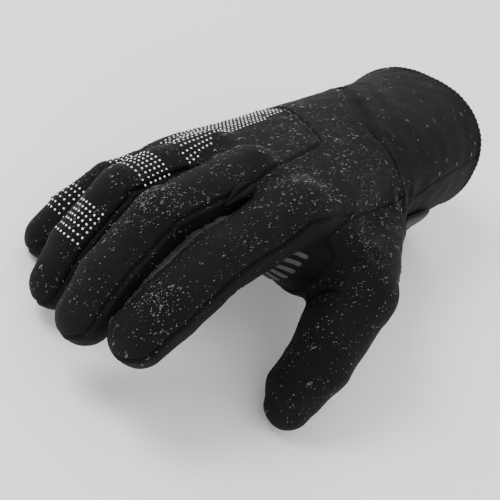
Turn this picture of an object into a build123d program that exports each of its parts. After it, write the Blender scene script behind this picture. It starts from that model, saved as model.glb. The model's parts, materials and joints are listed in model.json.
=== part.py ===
from build123d import *
import os
from collections import namedtuple
from math import cos, radians, sin

# Waterproof softshell glove for a right hand, in millimetres.
# The glove is drawn in the hand's own frame: origin at the middle of the wrist, fingers towards -X,
# thumb towards -Y, back of the hand towards +Z. Each finished piece is then tilted into the pose in
# which the glove stands on a table, on its thumb tip, its little fingertip and its cuff hem.

# Standing pose
STAND_ROLL = -17.2
STAND_PITCH = 9.4
STAND_OFFSET = (49.6, 21.8, 46.95)

# Fabric layers, outside to inside
SHELL = 1.2
LAYER_GAP = 0.1
LINING = 1.6
LINED = SHELL + LAYER_GAP + LINING
JOINT_GAP = 0.3
SOCKET_WALL = 0.8

# Digits. knuckle: centre of the knuckle; forward and flex_axis: directions of the straight digit and
# of the axis that it curls about; bend and curl: how far the knuckle and the middle joint are bent
# at rest; root: knuckle to the fabric's base fold; first, second, last: the three bone lengths.
Digit = namedtuple("Digit", "name knuckle forward flex_axis bend curl root first second last radius")
TIP_CURL_RATIO = 0.55
TIP_STEP = 1.0


def finger(name, knuckle, spread, bend, curl, root, first, second, last, radius):
    """A finger whose straight direction is -X turned by spread degrees about +Z."""
    forward = Vector(-cos(radians(spread)), -sin(radians(spread)), 0)
    flex_axis = Vector(sin(radians(spread)), -cos(radians(spread)), 0)
    return Digit(name, Vector(*knuckle), forward, flex_axis, bend, curl, root, first, second, last, radius)


FINGERS = [
    finger("index", (-92, -37, 2), 2, 21, 20, 26, 47, 27, 27, 11.7),
    finger("middle", (-95, -12, 4), 1, 17, 33, 27, 51, 30, 28, 11.7),
    finger("ring", (-90, 12.5, 2), -3.5, 21, 36, 27, 48, 28, 27, 11.2),
    finger("little", (-80, 35.5, -3), -6.5, 25, 25, 23, 39, 22, 25, 10.4),
]
THUMB_HEEL = Vector(-20, -28, -12)
THUMB_HEEL_RADIUS = 19
THUMB = Digit("thumb", Vector(-55, -57.5, -27.5), Vector(-0.592, -0.207, -0.779),
              Vector(0.558, -0.802, -0.210), 0, 11, 0, 34, 15, 17, 14.6)
DIGITS = FINGERS + [THUMB]
THUMB_BASE_BEND = 36

# How far the middle joints can still curl from rest
CURL_LIMIT = 38
THUMB_CURL_LIMIT = 35

# Cut of the fold at each hinge: how far back the parent's rim lies, over the digit's radius
RIM_DORSAL = 0.10
RIM_PALM = 0.36
THUMB_RIM_DORSAL = 0.02
THUMB_RIM_PALM = 0.66
RIM_REACH = 25
THUMB_RIM_REACH = 20
THUMB_RIM_SIDE = 8
BALL_DEPTH = 0.53
THUMB_BALL_DEPTH = 0.70

# Seam heights on a digit, over its radius: back panel above, palm panel below, side strips between
BACK_SEAM = 0.10
PALM_SEAM = 0.55

# Hand: stations along the arm as (x, y, z, half width, half height, roll)
HAND_STATIONS = [
    (0, 0, 0, 36, 30, 0),
    (-30, -1, 1, 40, 26, 0),
    (-60, -2, 2, 46, 21, -2),
    (-88, -1.5, 0, 49, 17, -5),
    (-112, -1, -6, 47.5, 13, -8),
]
WRIST = HAND_STATIONS[0]

# Side seam of the hand as (x, z), from the wrist to in front of the knuckles, and the plan outline
# of the back panel on the index finger's side. The two back panels meet in an L-shaped seam.
SIDE_SEAM = [(10, -4), (-60, -1), (-92, -2), (-130, -16)]
INDEX_PANEL = [(10, -70), (-130, -70), (-130, -24.5), (-100, -24.5),
               (-75, 4), (-32, -4), (-30, 70), (10, 70)]
HAND_REACH = 70

# Cuff: sections as (centre, direction, half width, half height)
CUFF_MIDDLE = (Vector(36, 5, 1.5), Vector(0.99, 0.13, 0.03), 36.5, 31)
CUFF_HEM = (Vector(73.5, 14.5, 4), Vector(0.978, 0.2, 0.05), 39, 33.5)
CUFF_SHELL = 1.8
CUFF_START = 0.2
HEM_WIDTH = 3.2
HEM_PROUD = 0.6
GUSSET_TOP = -11
GUSSET_SLOPE = -3

# Wrist strap
STRAP_FROM = 8
STRAP_WIDTH = 27
PATCH = 0.9
PATCH_GAP = 0.05
STRAP = 2.2
ANCHOR_ANGLES = (196, 214)
STRAP_ANGLES = (215, 318)
HOOK_ANGLES = (262, 312)
LOOP_ANGLES = (250, 322)
PULL_ANGLES = (319, 327)
PULL_EXTRA = 0.7

# Reflective dots and silicone grip bars
DOT_RADIUS = 0.8
DOT_PITCH = 2.7
DOT_RISE = 0.3
DOT_GAP = 0.03
DOT_COLUMNS = 5
NEAR_DOT_ROWS = 3
NEAR_DOTS_FROM = 4.6
FAR_DOT_ROWS = 5
FAR_DOTS_FROM = 6
BAR_COUNT = 5
BAR_LENGTH = 26
BAR_WIDTH = 2.2
BAR_PITCH = 4.6
BAR_RISE = 0.7
BAR_TURN = 20
BAR_CENTRE = (-74, -16)
BAR_DEPTHS = (-40, -4)

# A length past every edge of the piece being cut
FAR = 60
stand = Pos(*STAND_OFFSET) * Rot(Y=STAND_PITCH) * Rot(X=STAND_ROLL)


def save(name, part):
    """Tilt a finished piece into the standing pose, label it and write it."""
    placed = stand * part
    placed.label = name
    export_step(placed, f"parts/{name}.step")


# ---------------------------------------------------------------- geometry of a digit

def lane(digit):
    """Plane in which a digit curls: x runs forward, y towards the palm, z along the curl axis."""
    return Plane(origin=digit.knuckle, x_dir=digit.forward, z_dir=digit.flex_axis)


def polar(length, angle):
    return Vector(length * cos(radians(angle)), length * sin(radians(angle)))


def base_hinge(digit):
    return polar(digit.root, digit.bend)


def middle_hinge(digit):
    return polar(digit.first, digit.bend)


def far_route(digit):
    """Middle hinge, end joint and centre of the round tip, in the digit's lane."""
    radius = far_radius(digit)
    second = digit.bend + digit.curl
    last = second + TIP_CURL_RATIO * digit.curl
    end_joint = middle_hinge(digit) + polar(digit.second, second)
    return [middle_hinge(digit), end_joint, end_joint + polar(digit.last - radius, last)]


def far_radius(digit):
    return digit.radius - TIP_STEP


def in_space(digit, point):
    return lane(digit).from_local_coords(point)


def round_tube(digit, route, radius):
    """Solid tube along a route in the digit's lane, round at every point of it."""
    points = [in_space(digit, point) for point in route]
    with BuildPart() as tube:
        for start, end in zip(points, points[1:]):
            with BuildSketch(Plane(origin=start, z_dir=end - start)):
                Circle(radius)
            extrude(amount=(end - start).length)
        for point in points:
            with Locations(point):
                Sphere(radius)
    return tube.part


def block(digit, outline, half_width=FAR):
    """Prism across a digit's lane."""
    with BuildPart() as prism:
        with BuildSketch(lane(digit)):
            with BuildLine():
                Polyline(*[(point.X, point.Y) for point in outline], close=True)
            make_face()
        extrude(amount=half_width, both=True)
    return prism.part


def ahead_of_rim(digit, hinge, angle, radius, dorsal, palm, reach=FAR, margin=0.0):
    """Outline of the room in front of a hinge's rim. The rim leans back towards the palm, so that
    the digit can curl. margin moves the rim back."""
    forward = polar(1, angle)
    palmward = polar(1, angle + 90)
    top = hinge - forward * (dorsal * radius + margin) - palmward * radius
    bottom = hinge - forward * (palm * radius + margin) + palmward * radius
    slope = (bottom - top).normalized()
    top = top - slope * reach
    bottom = bottom + slope * reach
    return [top, bottom, bottom + forward * 2 * FAR, top + forward * 2 * FAR]


def behind_ball(digit, hinge, angle, radius, depth):
    """Outline of the room behind a ball's back edge."""
    forward = polar(1, angle)
    palmward = polar(1, angle + 90)
    edge = hinge - forward * depth * radius
    return [edge - palmward * FAR, edge + palmward * FAR,
            edge + palmward * FAR - forward * FAR, edge - palmward * FAR - forward * FAR]


def seam_band(route, low, high):
    """Outline between two lines parallel to a route, low and high millimetres palmward of it."""
    def parallel(height):
        start = (route[1] - route[0]).normalized()
        end = (route[-1] - route[-2]).normalized()
        points = [route[0] - start * FAR + turned(start) * height]
        for before, corner, after in zip(route, route[1:], route[2:]):
            first = turned((corner - before).normalized())
            second = turned((after - corner).normalized())
            middle = (first + second).normalized()
            points.append(corner + middle * (height / middle.dot(first)))
        points.append(route[-1] + end * FAR + turned(end) * height)
        return points
    return parallel(low) + parallel(high)[::-1]


def turned(direction):
    """A lane direction turned a quarter towards the palm."""
    return Vector(-direction.Y, direction.X)


def save_link(name, digit, shell, route, radius):
    """Cut a link's shell along its seams into back panel, palm panel and side strips."""
    cuts = [
        ("back", -FAR, -BACK_SEAM * radius),
        ("sides", -BACK_SEAM * radius, PALM_SEAM * radius),
        ("palm", PALM_SEAM * radius, FAR),
    ]
    for panel, low, high in cuts:
        with BuildPart() as piece:
            add(shell)
            add(block(digit, seam_band(route, low, high)), mode=Mode.INTERSECT)
        save(f"{name}_{panel}", piece.part)


def near_link(digit):
    """First moving part of a digit: a ball at the base hinge and a sleeve up to the middle hinge."""
    hinge = base_hinge(digit)
    next_hinge = middle_hinge(digit)
    radius = digit.radius
    is_thumb = digit is THUMB
    route = [hinge, next_hinge]
    depth = THUMB_BALL_DEPTH if is_thumb else BALL_DEPTH
    ball_angle = digit.bend - THUMB_BASE_BEND / 2 if is_thumb else digit.bend
    rim = ahead_of_rim(digit, next_hinge, digit.bend, far_radius(digit), RIM_DORSAL, RIM_PALM)
    curl_limit = THUMB_CURL_LIMIT if is_thumb else CURL_LIMIT
    ahead = [next_hinge, next_hinge + polar(FAR, digit.bend)]
    curled = [next_hinge, next_hinge + polar(FAR, digit.bend + digit.curl + curl_limit)]
    rooms = [round_tube(digit, way, far_radius(digit) + JOINT_GAP) for way in (ahead, curled)]
    with BuildPart() as shell:
        add(round_tube(digit, route, radius))
        add(round_tube(digit, route, radius - SHELL), mode=Mode.SUBTRACT)
        add(block(digit, behind_ball(digit, hinge, ball_angle, radius, depth)), mode=Mode.SUBTRACT)
        add(rooms, mode=Mode.SUBTRACT)
        add(block(digit, rim), mode=Mode.SUBTRACT)
    save_link(f"{digit.name}_near", digit, shell.part, route, radius)

    with BuildPart() as lining:
        with BuildSketch(Plane(origin=in_space(digit, hinge),
                               z_dir=in_space(digit, next_hinge) - in_space(digit, hinge))):
            Circle(radius - SHELL - LAYER_GAP)
            Circle(radius - LINED, mode=Mode.SUBTRACT)
        extrude(amount=digit.first - digit.root)
        add(rooms, mode=Mode.SUBTRACT)
    save(f"{digit.name}_near_lining", lining.part)


def far_link(digit):
    """Second moving part of a digit: a ball at the middle hinge and a bent sleeve with a round tip."""
    radius = far_radius(digit)
    route = far_route(digit)
    angle = digit.bend + digit.curl / 2
    back = block(digit, behind_ball(digit, route[0], angle, radius, BALL_DEPTH))
    with BuildPart() as shell:
        add(round_tube(digit, route, radius))
        add(round_tube(digit, route, radius - SHELL), mode=Mode.SUBTRACT)
        add(back, mode=Mode.SUBTRACT)
    save_link(f"{digit.name}_far", digit, shell.part, route, radius)

    mouth = block(digit, behind_ball(digit, route[0], digit.bend + digit.curl, radius, 0))
    with BuildPart() as lining:
        add(round_tube(digit, route, radius - SHELL - LAYER_GAP))
        add(round_tube(digit, route, radius - LINED), mode=Mode.SUBTRACT)
        add(mouth, mode=Mode.SUBTRACT)
    save(f"{digit.name}_far_lining", lining.part)


def dot_patch(name, digit, start, angle, radius, rows, first_row):
    """Grid of raised reflective dots on the back of a straight sleeve that leaves start at angle.
    The first row lies first_row millimetres along it."""
    forward = (in_space(digit, start + polar(1, angle)) - in_space(digit, start)).normalized()
    across = digit.flex_axis.normalized()
    up = forward.cross(across)
    step = DOT_PITCH / radius
    with BuildPart() as dots:
        for row in range(rows):
            for column in range(DOT_COLUMNS):
                around = (column - (DOT_COLUMNS - 1) / 2) * step
                out = up * cos(around) + across * sin(around)
                along = forward * (first_row + row * DOT_PITCH)
                foot = in_space(digit, start) + along + out * (radius + DOT_GAP)
                with BuildSketch(Plane(origin=foot, z_dir=out)):
                    Circle(DOT_RADIUS)
                extrude(amount=DOT_RISE)
    save(name, dots.part)


# ---------------------------------------------------------------- hand and thumb base

def hand_form(inset):
    """Solid of the whole hand with the roots of the fingers, drawn in by inset."""
    with BuildPart() as form:
        for x, y, z, half_width, half_height, roll in HAND_STATIONS:
            here = x + inset if x == HAND_STATIONS[-1][0] else x
            with BuildSketch(Plane(origin=(here, y, z), x_dir=(0, 1, 0), z_dir=(1, 0, 0))):
                Ellipse(half_width - inset, half_height - inset, rotation=roll)
        loft()
        for digit in FINGERS:
            outline = ahead_of_rim(digit, base_hinge(digit), digit.bend, digit.radius,
                                   RIM_DORSAL, RIM_PALM, reach=RIM_REACH, margin=inset)
            add(block(digit, outline, digit.radius + JOINT_GAP + inset), mode=Mode.SUBTRACT)
        for digit in FINGERS:
            root = [Vector(0, 0), base_hinge(digit)]
            add(round_tube(digit, root, digit.radius + JOINT_GAP + SOCKET_WALL - inset))
    return form.part


def finger_room():
    """Room that the four fingers' first links need in front of their rims."""
    with BuildPart() as room:
        for digit in FINGERS:
            hinge = base_hinge(digit)
            ahead = [hinge - polar(1, digit.bend), hinge + polar(FAR, digit.bend)]
            add(round_tube(digit, ahead, digit.radius + JOINT_GAP))
            outline = ahead_of_rim(digit, hinge, digit.bend, digit.radius,
                                   RIM_DORSAL, RIM_PALM, reach=RIM_REACH)
            add(block(digit, outline, digit.radius + JOINT_GAP))
    return room.part


def thumb_heel(inset):
    """Solid cone from the heel of the thumb to its knuckle, drawn in by inset."""
    to_knuckle = THUMB.knuckle - THUMB_HEEL
    with BuildPart() as form:
        with BuildSketch(Plane(origin=THUMB_HEEL, z_dir=to_knuckle)):
            Circle(THUMB_HEEL_RADIUS - inset)
        with BuildSketch(Plane(origin=THUMB.knuckle, z_dir=to_knuckle)):
            Circle(THUMB.radius + JOINT_GAP + SOCKET_WALL - inset)
        loft()
        with Locations(THUMB.knuckle):
            Sphere(THUMB.radius + JOINT_GAP + SOCKET_WALL - inset)
        with Locations(THUMB_HEEL):
            Sphere(THUMB_HEEL_RADIUS - inset)
    return form.part


def thumb_room():
    """Room that the thumb's first link needs in front of its rim."""
    hinge = base_hinge(THUMB)
    outline = ahead_of_rim(THUMB, hinge, -THUMB_BASE_BEND, THUMB.radius,
                           THUMB_RIM_DORSAL, THUMB_RIM_PALM, reach=THUMB_RIM_REACH)
    with BuildPart() as room:
        with Locations(THUMB.knuckle):
            Sphere(THUMB.radius + JOINT_GAP)
        add(block(THUMB, outline, THUMB.radius + THUMB_RIM_SIDE))
    return room.part


def slab(outline):
    """Tall vertical prism over an outline in plan."""
    with BuildPart() as prism:
        with BuildSketch(Plane.XY):
            with BuildLine():
                Polyline(*outline, close=True)
            make_face()
        extrude(amount=FAR, both=True)
    return prism.part


def dorsal_half():
    """Everything above the side seam, which drops towards the fingers."""
    with BuildPart() as half:
        with BuildSketch(Plane.XZ):
            with BuildLine():
                Polyline(*SIDE_SEAM, (SIDE_SEAM[-1][0], FAR), (SIDE_SEAM[0][0], FAR), close=True)
            make_face()
        extrude(amount=HAND_REACH, both=True)
    return half.part


# ---------------------------------------------------------------- cuff

def cuff_form(outset):
    """Solid of the cuff from the wrist to the hem, grown by outset."""
    with BuildPart() as form:
        start = (CUFF_START, WRIST[1], WRIST[2])
        with BuildSketch(Plane(origin=start, x_dir=(0, 1, 0), z_dir=(1, 0, 0))):
            Ellipse(WRIST[3] + outset, WRIST[4] + outset)
        for middle, axis, width, height in [CUFF_MIDDLE, CUFF_HEM]:
            with BuildSketch(Plane(origin=middle, x_dir=side_of(axis), z_dir=axis)):
                Ellipse(width + outset, height + outset)
        loft()
    return form.part


def side_of(axis):
    """Level direction across an axis, on the little finger's side."""
    return Vector(-axis.Y, axis.X, 0).normalized()


def wrist_band(inner, outer, angles):
    """Band round the cuff near the wrist, between two outsets and two angles, from +Y towards -Z."""
    first, last = angles
    with BuildPart() as band:
        add(cuff_form(outer))
        add(cuff_form(inner), mode=Mode.SUBTRACT)
        with BuildSketch(Plane.YZ.offset(STRAP_FROM)):
            with BuildLine():
                start = Line((0, 0), polar(2 * FAR, first))
                arc = ThreePointArc(start @ 1, polar(2 * FAR, (first + last) / 2), polar(2 * FAR, last))
                Line(arc @ 1, (0, 0))
            make_face()
        extrude(amount=STRAP_WIDTH, mode=Mode.INTERSECT)
    return band.part


# ================================================================ the pieces
os.makedirs("parts", exist_ok=True)

for digit in DIGITS:
    near_link(digit)
    far_link(digit)

for digit in FINGERS[2:]:
    dot_patch(f"{digit.name}_near_dots", digit, base_hinge(digit), digit.bend, digit.radius,
              NEAR_DOT_ROWS, NEAR_DOTS_FROM)
    dot_patch(f"{digit.name}_far_dots", digit, middle_hinge(digit), digit.bend + digit.curl,
              far_radius(digit), FAR_DOT_ROWS, FAR_DOTS_FROM)

# Hand shell
room_for_fingers = finger_room()
room_for_thumb = thumb_room()
outer_hand = hand_form(0)
outer_heel = thumb_heel(0)
inner_hand = hand_form(SHELL)
inner_heel = thumb_heel(SHELL)
upper = dorsal_half()

with BuildPart() as hand_shell:
    add(outer_hand)
    add(inner_hand, mode=Mode.SUBTRACT)
    add(inner_heel, mode=Mode.SUBTRACT)
    add(room_for_fingers, mode=Mode.SUBTRACT)
    add(room_for_thumb, mode=Mode.SUBTRACT)

# The back is cut from two panels, joined by an L-shaped seam from the index finger's web to the wrist
index_side = slab(INDEX_PANEL)

with BuildPart() as back_index_panel:
    add(hand_shell.part)
    add(upper, mode=Mode.INTERSECT)
    add(index_side, mode=Mode.INTERSECT)
save("hand_back_index_panel", back_index_panel.part)

with BuildPart() as back_outer_panel:
    add(hand_shell.part)
    add(upper, mode=Mode.INTERSECT)
    add(index_side, mode=Mode.SUBTRACT)
save("hand_back_outer_panel", back_outer_panel.part)

with BuildPart() as palm_panel:
    add(hand_shell.part)
    add(upper, mode=Mode.SUBTRACT)
save("hand_palm_panel", palm_panel.part)

# Thumb base, open into the hand and cut along its own side seam
with BuildPart() as heel_shell:
    add(outer_heel)
    add(inner_heel, mode=Mode.SUBTRACT)
    add(outer_hand, mode=Mode.SUBTRACT)
    add(room_for_thumb, mode=Mode.SUBTRACT)

heel_route = [polar(-FAR, -THUMB_BASE_BEND), Vector(0, 0)]
for panel, low, high in [("back", -FAR, 0), ("palm", 0, FAR)]:
    with BuildPart() as heel_panel:
        add(heel_shell.part)
        add(block(THUMB, seam_band(heel_route, low, high)), mode=Mode.INTERSECT)
    save(f"thumb_base_{panel}", heel_panel.part)

# Hand lining, with the thumb's
with BuildPart() as hand_lining:
    add(hand_form(SHELL + LAYER_GAP))
    add(thumb_heel(SHELL + LAYER_GAP))
    add(hand_form(LINED), mode=Mode.SUBTRACT)
    add(thumb_heel(LINED), mode=Mode.SUBTRACT)
    add(room_for_fingers, mode=Mode.SUBTRACT)
    add(room_for_thumb, mode=Mode.SUBTRACT)
save("hand_lining", hand_lining.part)

# Cuff: shell in two panels, lining and rolled hem
with BuildPart() as cuff_shell:
    add(cuff_form(0))
    add(cuff_form(-CUFF_SHELL), mode=Mode.SUBTRACT)

with BuildPart() as below_gusset:
    Box(4 * FAR, 4 * FAR, FAR, align=(Align.CENTER, Align.CENTER, Align.MAX))
below = Pos(0, 0, GUSSET_TOP) * Rot(Y=GUSSET_SLOPE) * below_gusset.part

with BuildPart() as cuff_back:
    add(cuff_shell.part)
    add(below, mode=Mode.SUBTRACT)
save("cuff_back_panel", cuff_back.part)

with BuildPart() as cuff_gusset:
    add(cuff_shell.part)
    add(below, mode=Mode.INTERSECT)
save("cuff_gusset", cuff_gusset.part)

with BuildPart() as cuff_lining:
    add(cuff_form(-CUFF_SHELL - LAYER_GAP))
    add(cuff_form(-LINED - LAYER_GAP), mode=Mode.SUBTRACT)
save("cuff_lining", cuff_lining.part)

hem_centre, hem_axis, hem_width, hem_height = CUFF_HEM
with BuildPart() as hem:
    with BuildSketch(Plane(origin=hem_centre, x_dir=side_of(hem_axis), z_dir=hem_axis)):
        Ellipse(hem_width + HEM_PROUD, hem_height + HEM_PROUD)
        Ellipse(hem_width - LINED - HEM_PROUD, hem_height - LINED - HEM_PROUD, mode=Mode.SUBTRACT)
    extrude(amount=HEM_WIDTH)
    fillet(hem.edges().group_by(Axis(hem_centre, hem_axis))[-1], HEM_WIDTH / 3)
save("cuff_hem", hem.part)

# Wrist strap: sewn anchor, loop patch on the cuff, and the tab with its hook patch and pull
save("strap_anchor", wrist_band(PATCH_GAP, PATCH + JOINT_GAP + STRAP, ANCHOR_ANGLES))
save("strap_loop_patch", wrist_band(PATCH_GAP, PATCH, LOOP_ANGLES))
hook_out = PATCH + JOINT_GAP + PATCH
save("strap_hook_patch", wrist_band(PATCH + JOINT_GAP, hook_out, HOOK_ANGLES))
save("strap_tab", wrist_band(hook_out, hook_out + STRAP, STRAP_ANGLES))
save("strap_pull", wrist_band(hook_out - PULL_EXTRA, hook_out + STRAP + PULL_EXTRA, PULL_ANGLES))

# Silicone bars on the palm, following the shell
with BuildPart() as bar_skin:
    add(hand_form(-BAR_RISE))
    add(outer_hand, mode=Mode.SUBTRACT)
with BuildPart() as bar_posts:
    with BuildSketch(Plane.XY.offset(BAR_DEPTHS[0])):
        with Locations(Location(BAR_CENTRE, BAR_TURN)):
            with GridLocations(BAR_PITCH, 1, BAR_COUNT, 1):
                SlotOverall(BAR_LENGTH, BAR_WIDTH, rotation=90)
    extrude(amount=BAR_DEPTHS[1] - BAR_DEPTHS[0])
with BuildPart() as palm_bars:
    add(bar_skin.part)
    add(bar_posts.part, mode=Mode.INTERSECT)
save("palm_grip_bars", palm_bars.part)
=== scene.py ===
import json
import math

import bmesh
import bpy
import numpy as np
from mathutils import Matrix, Vector, kdtree
from numpy.linalg import norm


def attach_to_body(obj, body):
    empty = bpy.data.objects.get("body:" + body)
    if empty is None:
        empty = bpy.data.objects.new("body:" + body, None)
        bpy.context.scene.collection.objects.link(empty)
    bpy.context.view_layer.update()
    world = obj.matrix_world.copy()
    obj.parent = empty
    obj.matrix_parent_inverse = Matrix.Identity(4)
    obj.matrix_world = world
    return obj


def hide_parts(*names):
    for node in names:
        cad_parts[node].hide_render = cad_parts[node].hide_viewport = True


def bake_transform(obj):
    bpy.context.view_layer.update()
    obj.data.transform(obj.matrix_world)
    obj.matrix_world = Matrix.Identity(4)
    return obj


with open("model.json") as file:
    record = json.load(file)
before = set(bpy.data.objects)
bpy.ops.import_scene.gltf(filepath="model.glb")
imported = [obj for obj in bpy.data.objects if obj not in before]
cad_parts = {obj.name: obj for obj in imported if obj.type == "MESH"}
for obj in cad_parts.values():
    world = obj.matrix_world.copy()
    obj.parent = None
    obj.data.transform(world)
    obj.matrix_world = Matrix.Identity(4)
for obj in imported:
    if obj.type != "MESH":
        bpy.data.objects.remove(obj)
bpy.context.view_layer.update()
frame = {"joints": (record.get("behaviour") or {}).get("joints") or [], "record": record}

# A black softshell glove for a right hand. Its skin is a distance field of fingers, palm, thumb and
# cuff, set out from the frame's hinges and a few stations of the palm and cuff, in millimetres in
# the hand's own frame (origin at the wrist, fingers towards -X, thumb towards -Y, back of the hand
# towards +Z).

MM = 0.001
FINE_VOXEL = 0.95
VOXEL = FINE_VOXEL
LINING_VOXEL = 2.6
ROUGH_SHRINK = 1.0
PALM_SIDES = 72

# Fabric thicknesses, how far under the skin the linings lie, and the gap left above the floor
CLOTH, CUFF_CLOTH, FLEECE = 1.0, 1.5, 1.5
LINING_INSET, CUFF_LINING_INSET = 1.4, 2.0
FLOOR_GAP, FLOOR_SOFT = 0.2, 0.6

# ---- the hand's frame in the row's
STAND_ROLL = math.radians(-17.2)
STAND_PITCH = math.radians(9.4)
STAND_OFFSET = np.array([49.6, 21.8, 46.95])
TURN = np.array((Matrix.Rotation(STAND_PITCH, 3, "Y") @ Matrix.Rotation(STAND_ROLL, 3, "X")))


def to_row(points):
    """Hand frame, millimetres, to row frame, metres."""
    return (np.asarray(points, float) @ TURN.T + STAND_OFFSET) * MM


def to_hand(points):
    """Row frame, metres, to hand frame, millimetres."""
    return (np.asarray(points, float) / MM - STAND_OFFSET) @ TURN


def unit(v):
    v = np.asarray(v, float)
    return v / norm(v, axis=-1, keepdims=True)


# ---- digits, from the frame's hinges
class Digit:
    """One digit's centre line: knuckle, two hinges, end joint and centre of the tip."""

    def __init__(self, name, knuckle, curl, second, last, radii, sway=(0, 0), sag=(0, 0, 0)):
        hinges = {j["name"]: j for j in frame["joints"]}
        base, middle = hinges[name + "_base_bend"], hinges[name + "_middle_bend"]
        self.name = name
        self.axis = unit(np.array(base["axis"]) @ TURN)
        self.base, self.middle = to_hand(base["pos_m"]), to_hand(middle["pos_m"])
        self.first = unit(self.middle - self.base)
        tip_radius = radii[-1]
        bend = math.radians(curl)
        second_direction = self.turned(self.first, bend)
        last_direction = self.turned(self.first, bend * 1.55)
        end_joint = self.middle + second_direction * second
        end_joint = end_joint + self.axis * sway[0]
        tip = end_joint + last_direction * (last - tip_radius) + self.axis * sway[1]
        self.knuckle = np.array(knuckle, float)
        self.points = np.array([self.knuckle, self.base + np.array(sag), self.middle + np.array(sag) * 0.8,
                                end_joint + np.array(sag) * 0.4, tip])
        self.radii = np.array(radii, float)

    def turned(self, direction, angle):
        """A direction turned about the curl axis, towards the palm."""
        return (direction * math.cos(angle) + np.cross(self.axis, direction) * math.sin(angle))

    def locate(self, p):
        """For points: distance along the centre line, the height above it towards the back of the
        hand and the offset along the curl axis, over the radius there, and the distance from it."""
        found = np.zeros((4, len(p)))
        best = np.full(len(p), 1e9)
        done = 0.0
        for start, end, r0, r1 in zip(self.points, self.points[1:], self.radii, self.radii[1:]):
            run = end - start
            length = norm(run)
            t = ((p - start) @ run) / length ** 2
            clipped = np.clip(t, 0, 1)
            away = p - (start + clipped[:, None] * run)
            distance = norm(away, axis=1)
            closer = distance < best
            dorsal = unit(np.cross(run, self.axis))
            radius = r0 + clipped * (r1 - r0)
            last = np.allclose(end, self.points[-1])
            reach = np.where(last, np.maximum(t, 0), clipped)
            here = (done + reach * length, (away @ dorsal) / radius, (away @ self.axis) / radius, distance)
            found = np.where(closer, here, found)
            best = found[3]
            done += length
        return found


def chain_distance(p, points, radii, soft):
    """Distance to a chain of tapered round bars, softened at its bends."""
    field = None
    for start, end, r0, r1 in zip(points, points[1:], radii, radii[1:]):
        run = end - start
        t = np.clip(((p - start) @ run) / (run @ run), 0, 1)
        d = norm(p - (start + t[:, None] * run), axis=1) - (r0 + t * (r1 - r0))
        field = d if field is None else smooth_min(field, d, soft)
    return field


def smooth_min(a, b, k):
    h = np.clip(0.5 + 0.5 * (b - a) / k, 0, 1)
    return b + (a - b) * h - k * h * (1 - h)


FINGERS = [
    Digit("index", (-92, -36.5, 2), 20, 27, 27, (13.5, 13.0, 12.7, 12.4, 11.6), (-0.9, -1.9)),
    Digit("middle", (-95, -12, 4), 33, 30, 28, (13.5, 12.9, 12.6, 12.1, 11.2)),
    Digit("ring", (-90, 12.5, 1), 36, 28, 27, (11.0, 12.0, 11.7, 11.3, 10.9)),
    Digit("little", (-80, 34.5, -9), 25, 22, 25, (7.8, 8.0, 8.8, 9.9, 10.0), (0, 0), (0, -2.2, -4.4)),
]
THUMB = Digit("thumb", (-22, -29, -13), 11, 15, 17.6, (20.5, 17.2, 14.0, 12.5, 9.9), (-2.4, 0.9))
DIGITS = FINGERS + [THUMB]

# Palm and cuff stations along the arm: x, centre y, centre z, half width, half height, roll in
# degrees, and how far the little finger's side droops
STATIONS = np.array([
    (-116, -1, -9.5, 44, 10, -10, 8),
    (-104, -1, -6, 47, 12.5, -10, 8),
    (-88, -1.5, -2.5, 48.5, 15.5, -9, 7.5),
    (-60, -2, -0.5, 45.5, 20.5, -7, 7),
    (-30, -1, 0.2, 40, 25.7, -4, 3.5),
    (0, 0.5, 0.6, 36.8, 30.3, 0, 0),
    (36, 5.5, 2, 37.2, 32.2, 0, 0),
    (73.5, 14.5, 4, 39.6, 33.5, 0, 0),
    (95, 19.5, 5.2, 41, 34.5, 0, 0),
], float)
SECTION_POWER = 2.25
HEM_CENTRE = np.array([76.7, 15.1, 4.2])
HEM_AXIS = unit([0.978, 0.2, 0.05])


def station(x):
    """Station values at each x, by a Catmull-Rom spline through the stations."""
    xs = STATIONS[:, 0]
    i = np.clip(np.searchsorted(xs, x) - 1, 0, len(xs) - 2)
    i0, i3 = np.maximum(i - 1, 0), np.minimum(i + 2, len(xs) - 1)
    h = xs[i + 1] - xs[i]
    t = np.clip((x - xs[i]) / h, 0, 1)[:, None]
    m1 = (STATIONS[i + 1] - STATIONS[i0]) / (xs[i + 1] - xs[i0])[:, None] * h[:, None]
    m2 = (STATIONS[i3] - STATIONS[i]) / (xs[i3] - xs[i])[:, None] * h[:, None]
    return ((2 * t ** 3 - 3 * t ** 2 + 1) * STATIONS[i] + (t ** 3 - 2 * t ** 2 + t) * m1
            + (3 * t ** 2 - 2 * t ** 3) * STATIONS[i + 1] + (t ** 3 - t ** 2) * m2)


def front_edge(y):
    """Where the palm ends between the fingers; it lies further back beside the little finger."""
    t = np.clip((y - 17) / 10, 0, 1)
    return STATIONS[0, 0] + 2 + 15 * t * t * (3 - 2 * t)


def body_distance(p):
    """Distance to the palm and cuff, closed at the fingers' end and cut at the hem."""
    s = station(p[:, 0])
    roll = np.radians(s[:, 5])
    y, z = p[:, 1] - s[:, 1], p[:, 2] - s[:, 2]
    u = y * np.cos(roll) + z * np.sin(roll)
    w = z * np.cos(roll) - y * np.sin(roll) + s[:, 6] * np.clip(u / s[:, 3], 0, 1.2) ** 2
    k = (np.abs(u / s[:, 3]) ** SECTION_POWER + np.abs(w / s[:, 4]) ** SECTION_POWER) ** (1 / SECTION_POWER)
    ring = (k - 1) * np.hypot(u, w) / np.maximum(k, 0.05)
    ring = np.where(k < 0.3, -s[:, 4] * (1 - k), ring)
    front = front_edge(p[:, 1]) - p[:, 0]
    hem = (p - HEM_CENTRE) @ HEM_AXIS
    return smooth_max(smooth_max(ring, front, 8), hem, 0.8)


def smooth_max(a, b, k):
    return -smooth_min(-a, -b, k)


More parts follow.
